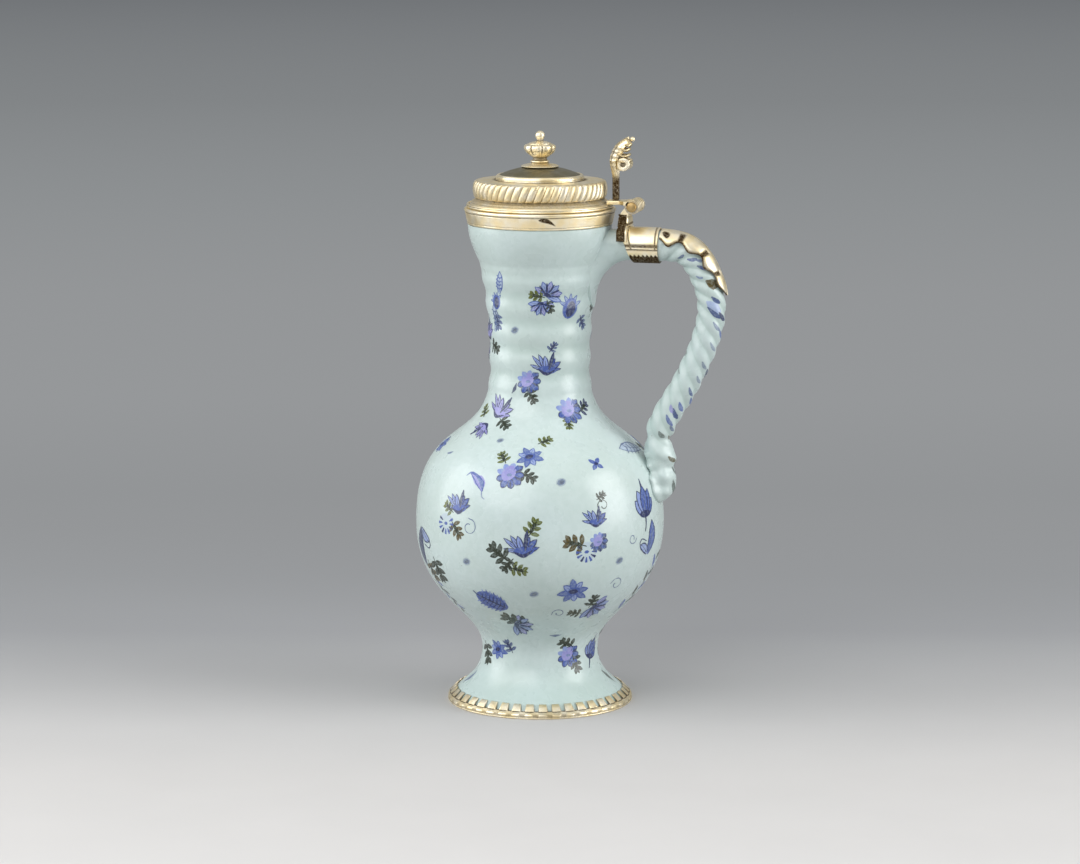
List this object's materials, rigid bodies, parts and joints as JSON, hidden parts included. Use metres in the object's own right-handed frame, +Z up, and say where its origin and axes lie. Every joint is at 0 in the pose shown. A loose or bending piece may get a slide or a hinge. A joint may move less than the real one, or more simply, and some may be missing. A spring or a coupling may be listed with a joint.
{
  "type": "jug",
  "caption": "Narrow-necked tin-glazed jug with a twisted handle, gilt foot and mouth mounts, and a hinged domed lid with a thumbpiece and a finial.",
  "frame": {"origin": "middle of the bounding box at the level the foot stands on; the jug's own axis is 16.3 mm towards -X of it", "axes": "+Z up along the jug's axis, +X towards the handle and the lid's hinge, +Y across"},
  "size_m": [0.1572, 0.125, 0.2868],
  "materials": {
    "glaze": "glossy cool white tin glaze with painted sprigs",
    "gilt": "worn pale gilding on silver, polished",
    "dark_gilt": "tarnished gilding on silver"
  },
  "bodies": {
    "jug": {"faience_body": "glaze", "faience_handle": "glaze", "foot_base_moulding": "gilt", "foot_dentil_collar": "gilt", "mouth_collar": "gilt", "strap_saddle": "gilt", "strap_underband": "gilt", "strap_tail": "gilt", "hinge_standard": "gilt", "hinge_pin": "dark_gilt", "hinge_pin_cap": "dark_gilt"},
    "lid": {"lid_hinge_arm": "gilt", "thumbpiece": "gilt", "thumbpiece_bead": "gilt", "lid_dome": "gilt", "lid_rim_moulding": "gilt", "lid_bezel": "gilt", "lid_disc_ring": "gilt", "lid_disc": "dark_gilt", "finial_base": "gilt", "finial_cup": "gilt", "finial_tip": "gilt", "finial_stud": "dark_gilt", "finial_washer": "dark_gilt", "finial_nut": "dark_gilt"}
  },
  "joints": [
    {"name": "lid_hinge", "type": "hinge", "parent": "jug", "child": "lid", "pos_m": [0.03166, 0, 0.2508], "axis": [0, 1, 0], "range_deg": [0, 100]}
  ]
}
